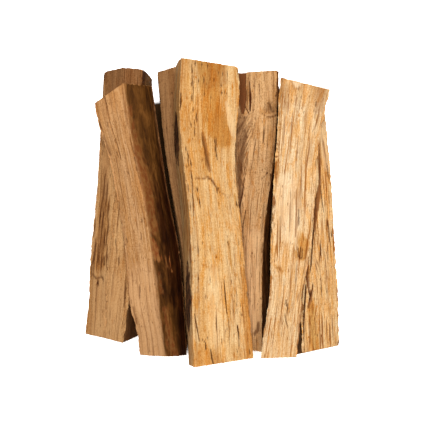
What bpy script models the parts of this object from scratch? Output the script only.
"""A loose stack of seven split firewood logs, two layers deep, lying on a flat surface.

Four logs lie side by side on the surface, and three lie on top: two in the hollows between
them, and one slantwise, with its head on a lower log and its foot on the surface.

Each log is one solid. It is described by its corner lines: the edges where two of its split
sides meet, each a smooth line that runs the length of the log. The saw cuts at the two ends
are flat planes that cut the solid off.

The tables are in millimetres. X is to the right across the logs, Y along them from the foot
end to the head end, Z up. The stack is centred on the origin after it is built.
"""

from collections import namedtuple

import bmesh
import bpy
import numpy as np
from mathutils import Matrix, Vector

MM = 0.001
STATION_STEP = 21.0  # distance between cross-sections along a log
OVERRUN = 24.0  # the uncut log runs this far past its first and last corner points
FACE_STEPS = 3  # facets across each side of a log

# A corner line. points are (y, x, z) from the head to the foot, and bulge is how far the side
# between this corner and the next stands out from a straight line at its middle.
Corner = namedtuple("Corner", "name points bulge", defaults=(0.0,))

# A flat saw cut: the plane y = at + per_x * x + per_z * z.
Cut = namedtuple("Cut", "at per_x per_z", defaults=(0.0, 0.0))

# A log. Its corners go clockwise as seen from the foot, and colour is that of its split wood.
Log = namedtuple("Log", "name corners heads feet colour")

LOGS = (
    Log(
        name="log_left_lower",
        corners=(
            Corner("crown", ((204, -127, 83), (60, -136, 73), (-60, -150, 56), (-181, -158, 49))),
            Corner("ridge", ((204, -100, 73), (100, -104, 74), (0, -110, 75), (-93, -116, 73),
                             (-130, -121, 74), (-181, -128, 75)), bulge=1.5),
            Corner("floor_inner", ((204, -93, 0), (-181, -110, 0))),
            Corner("floor_outer", ((204, -152, 0), (-181, -180, 0))),
            Corner("outer_low", ((204, -166, 14), (118, -170, 14), (0, -173, 12), (-181, -188, 6))),
            Corner("outer_top", ((204, -157, 57), (118, -164, 50), (65, -168, 45), (-3, -176, 36),
                                 (-71, -184, 28), (-128, -186, 25), (-178, -192, 22))),
        ),
        heads=(Cut(204),),
        feet=(Cut(-188, -0.054),),
        colour=(0.40, 0.22, 0.10),
    ),
    Log(
        name="log_left_upper",
        corners=(
            Corner("ridge", ((170, -119, 140), (88, -108, 127), (44, -99, 120), (8, -93, 114),
                             (-29, -88, 107), (-80, -82, 99), (-151, -76, 88), (-198, -70, 80)),
                   bulge=7.0),
            Corner("right_edge", ((170, -82, 120), (145, -79, 115), (85, -71, 105), (29, -63, 92),
                                  (-13, -55, 84), (-51, -48, 76), (-94, -44, 69), (-203, -38, 54)),
                   bulge=1.5),
            Corner("keel_right", ((175, -90, 90), (0, -66, 44), (-208, -52, 0.2))),
            Corner("keel_left", ((175, -128, 84), (60, -108, 76), (0, -98, 69), (-95, -104, 64),
                                 (-200, -99, 32))),
            Corner("thin_edge", ((149, -162, 112), (114, -155, 106), (80, -144, 100),
                                 (14, -133, 91), (-55, -125, 82), (-93, -121, 79), (-131, -119, 76),
                                 (-160, -110, 67), (-203, -107, 58))),
        ),
        heads=(Cut(183, -0.083, -0.16), Cut(264, 0.6, -0.16)),
        feet=(Cut(-208.6, 0.0, 0.12),),
        colour=(0.50, 0.31, 0.16),
    ),
    Log(
        name="log_centre_left_lower",
        corners=(
            Corner("crown", ((206, -58, 76), (0, -38, 71), (-100, -25, 70.5), (-192, -12, 73))),
            Corner("right_top", ((209, -40, 76), (0, -14, 65), (-192, 8, 69))),
            Corner("floor_right", ((209, -34, 0), (0, -12, 0), (-192, 12, 0))),
            Corner("floor_left", ((203, -80, 0), (0, -58, 0), (-192, -38, 0)), bulge=3.0),
            Corner("left_top", ((203, -81, 60), (100, -71, 62), (30, -60, 63), (-30, -49, 65),
                                (-192, -35, 60))),
        ),
        heads=(Cut(214, 0.14),),
        feet=(Cut(-192, 0.14),),
        colour=(0.38, 0.22, 0.12),
    ),
    Log(
        name="log_centre_upper",
        corners=(
            Corner("ridge", ((202, -42, 150), (132, -45, 150), (62, -39, 150), (3, -32, 150),
                             (-51, -29, 150), (-151, -28, 150), (-197, -26, 150))),
            Corner("right_edge", ((202, 34, 96), (169, 36, 96), (123, 32, 96), (74, 29, 96),
                                  (31, 32, 96), (-15, 38, 95), (-63, 42, 94), (-104, 46, 94),
                                  (-197, 55, 95))),
            Corner("right_bottom", ((202, 30, 51), (0, 32, 54), (-198, 48, 66))),
            Corner("left_bottom", ((204, -50, 81), (0, -44, 74), (-198, -35, 78))),
            Corner("left_side", ((204, -54, 88), (150, -57, 88), (72, -55, 88), (31, -50, 88),
                                 (-37, -44, 88), (-105, -42, 88), (-150, -40, 91), (-163, -38, 100),
                                 (-176, -35, 122), (-198, -34, 135)), bulge=2.0),
        ),
        heads=(Cut(202),),
        feet=(Cut(-198),),
        colour=(0.62, 0.38, 0.18),
    ),
    Log(
        name="log_centre_right_lower",
        corners=(
            Corner("ridge", ((198, 88, 78), (143, 88, 78), (102, 86, 78), (55, 81, 78),
                             (8, 74, 78), (-38, 69, 78), (-121, 67, 78), (-191, 67, 78)),
                   bulge=4.0),
            Corner("floor_right", ((204, 91, 0), (0, 86, 0), (-194, 82, 0))),
            Corner("floor_left", ((204, 5, 0), (-194, 22, 0))),
            Corner("left_top", ((204, 2, 36), (0, 10, 40), (-194, 20, 45))),
        ),
        heads=(Cut(205, -0.04),),
        feet=(Cut(-193),),
        colour=(0.50, 0.31, 0.16),
    ),
    Log(
        name="log_right_upper",
        corners=(
            Corner("left_edge", ((179, 88, 138), (152, 85, 138), (112, 84, 138), (72, 81, 138),
                                 (31, 78, 138), (-9, 77, 138), (-45, 74, 138), (-112, 73, 138),
                                 (-138, 68, 138), (-190, 61, 138))),
            Corner("right_edge", ((170, 160, 100), (140, 152, 100), (108, 146, 101), (80, 141, 102),
                                  (32, 138, 103), (-15, 136, 104), (-41, 133, 105),
                                  (-89, 125, 107), (-118, 121, 109), (-193, 113, 112))),
            Corner("right_flank", ((170, 140, 82), (0, 124, 80), (-193, 106, 84))),
            Corner("keel", ((175, 99, 79), (0, 83, 48), (-190, 83, 52))),
            Corner("left_flank", ((178, 94, 88), (0, 83, 84), (-190, 69, 84))),
        ),
        heads=(Cut(190, -0.126),),
        feet=(Cut(-184, -0.083),),
        colour=(0.70, 0.46, 0.25),
    ),
    Log(
        name="log_right_lower",
        corners=(
            Corner("ridge", ((178, 106, 77), (85, 112, 70.7), (0, 117, 71.5), (-194, 125, 76))),
            Corner("right_edge", ((178, 160, 28), (151, 165, 25), (70, 173, 25), (-10, 178, 25),
                                  (-56, 180, 25), (-133, 185, 25), (-192, 186, 25)), bulge=2.0),
            Corner("floor_right", ((178, 152, 0), (-194, 178, 0))),
            Corner("floor_left", ((178, 104, 0), (0, 112, 0), (-194, 122, 0))),
        ),
        heads=(Cut(172, 0.05),),
        feet=(Cut(-240, 0.215, 0.245),),
        colour=(0.66, 0.41, 0.20),
    ),
)


def smooth_line(points, stations):
    """x and z of a corner line at each station: a smooth curve through its points, straight past them."""
    y, *values = np.array(sorted(points), float).T
    inside = np.clip(stations, y[0], y[-1])
    span = np.clip(np.searchsorted(y, inside, side="right") - 1, 0, len(y) - 2)
    width = y[span + 1] - y[span]
    share = (inside - y[span]) / width
    line = []
    for value in values:
        slope = np.gradient(value, y)
        start, end = value[span], value[span + 1]
        curve = (
            (1 + 2 * share) * (1 - share) ** 2 * start
            + share * (1 - share) ** 2 * width * slope[span]
            + share**2 * (3 - 2 * share) * end
            - share**2 * (1 - share) * width * slope[span + 1]
        )
        past_end = np.where(stations > inside, slope[-1], slope[0]) * (stations - inside)
        line.append(curve + past_end)
    return np.stack(line, axis=1)


def cross_sections(log):
    """Points of the uncut log, one row for each station and one column for each point round it."""
    ends = [y for corner in log.corners for y, _, _ in corner.points]
    low, high = min(ends) - OVERRUN, max(ends) + OVERRUN
    stations = np.linspace(low, high, round((high - low) / STATION_STEP) + 1)
    lines = [smooth_line(corner.points, stations) for corner in log.corners]
    columns = []
    for corner, start, end in zip(log.corners, lines, lines[1:] + lines[:1]):
        along = end - start
        outward = np.stack([-along[:, 1], along[:, 0]], axis=1)
        outward /= np.linalg.norm(outward, axis=1, keepdims=True)
        for step in range(FACE_STEPS):
            share = step / FACE_STEPS
            columns.append(start + share * along + 4 * share * (1 - share) * corner.bulge * outward)
    section = np.stack(columns, axis=1)
    y = np.broadcast_to(stations[:, None], section.shape[:2])
    return np.stack([section[..., 0], y, section[..., 1]], axis=2) * MM


def saw(mesh, cut, keep_side):
    """Cuts the log off at a plane and closes the end. keep_side is 1 to keep what lies towards +Y."""
    normal = Vector((cut.per_x, -1.0, cut.per_z)) * keep_side
    geometry = mesh.verts[:] + mesh.edges[:] + mesh.faces[:]
    made = bmesh.ops.bisect_plane(
        mesh, geom=geometry, plane_co=(0, cut.at * MM, 0), plane_no=normal, clear_outer=True
    )
    rim = [part for part in made["geom_cut"] if isinstance(part, bmesh.types.BMEdge)]
    bmesh.ops.holes_fill(mesh, edges=rim, sides=0)


def log_mesh(log):
    """The log's closed mesh: its sections joined into a skin, then sawn off at both ends."""
    mesh = bmesh.new()
    rows = [[mesh.verts.new(point) for point in row] for row in cross_sections(log)]
    for row, next_row in zip(rows, rows[1:]):
        for i in range(len(row)):
            mesh.faces.new((row[i - 1], row[i], next_row[i], next_row[i - 1]))
    mesh.faces.new(rows[0])
    mesh.faces.new(rows[-1])
    for cut in log.heads:
        saw(mesh, cut, keep_side=-1)
    for cut in log.feet:
        saw(mesh, cut, keep_side=1)
    bmesh.ops.recalc_face_normals(mesh, faces=mesh.faces[:])
    return mesh


def wood_material(log):
    material = bpy.data.materials.new(log.name + "_wood")
    material.use_nodes = True
    shader = material.node_tree.nodes["Principled BSDF"]
    shader.inputs["Base Color"].default_value = (*log.colour, 1.0)
    shader.inputs["Roughness"].default_value = 0.75
    shader.inputs["Metallic"].default_value = 0.0
    return material


def build_log(log):
    """The log as an object whose origin is the middle of the log."""
    solid = log_mesh(log)
    middle = sum((vert.co for vert in solid.verts), Vector()) / len(solid.verts)
    solid.transform(Matrix.Translation(-middle))
    data = bpy.data.meshes.new(log.name)
    solid.to_mesh(data)
    solid.free()
    data.materials.append(wood_material(log))
    placed = bpy.data.objects.new(log.name, data)
    placed.location = middle
    bpy.context.scene.collection.objects.link(placed)
    return placed


def centre(objects):
    """Moves the stack so that the middle of its box is over the origin. Its base is at z = 0 already."""
    bpy.context.view_layer.update()
    corners = [o.matrix_world @ Vector(corner) for o in objects for corner in o.bound_box]
    for axis in (0, 1):
        values = [corner[axis] for corner in corners]
        middle = (min(values) + max(values)) / 2
        for placed in objects:
            placed.location[axis] -= middle


def main():
    for leftover in list(bpy.data.objects):
        bpy.data.objects.remove(leftover)
    centre([build_log(log) for log in LOGS])


main()
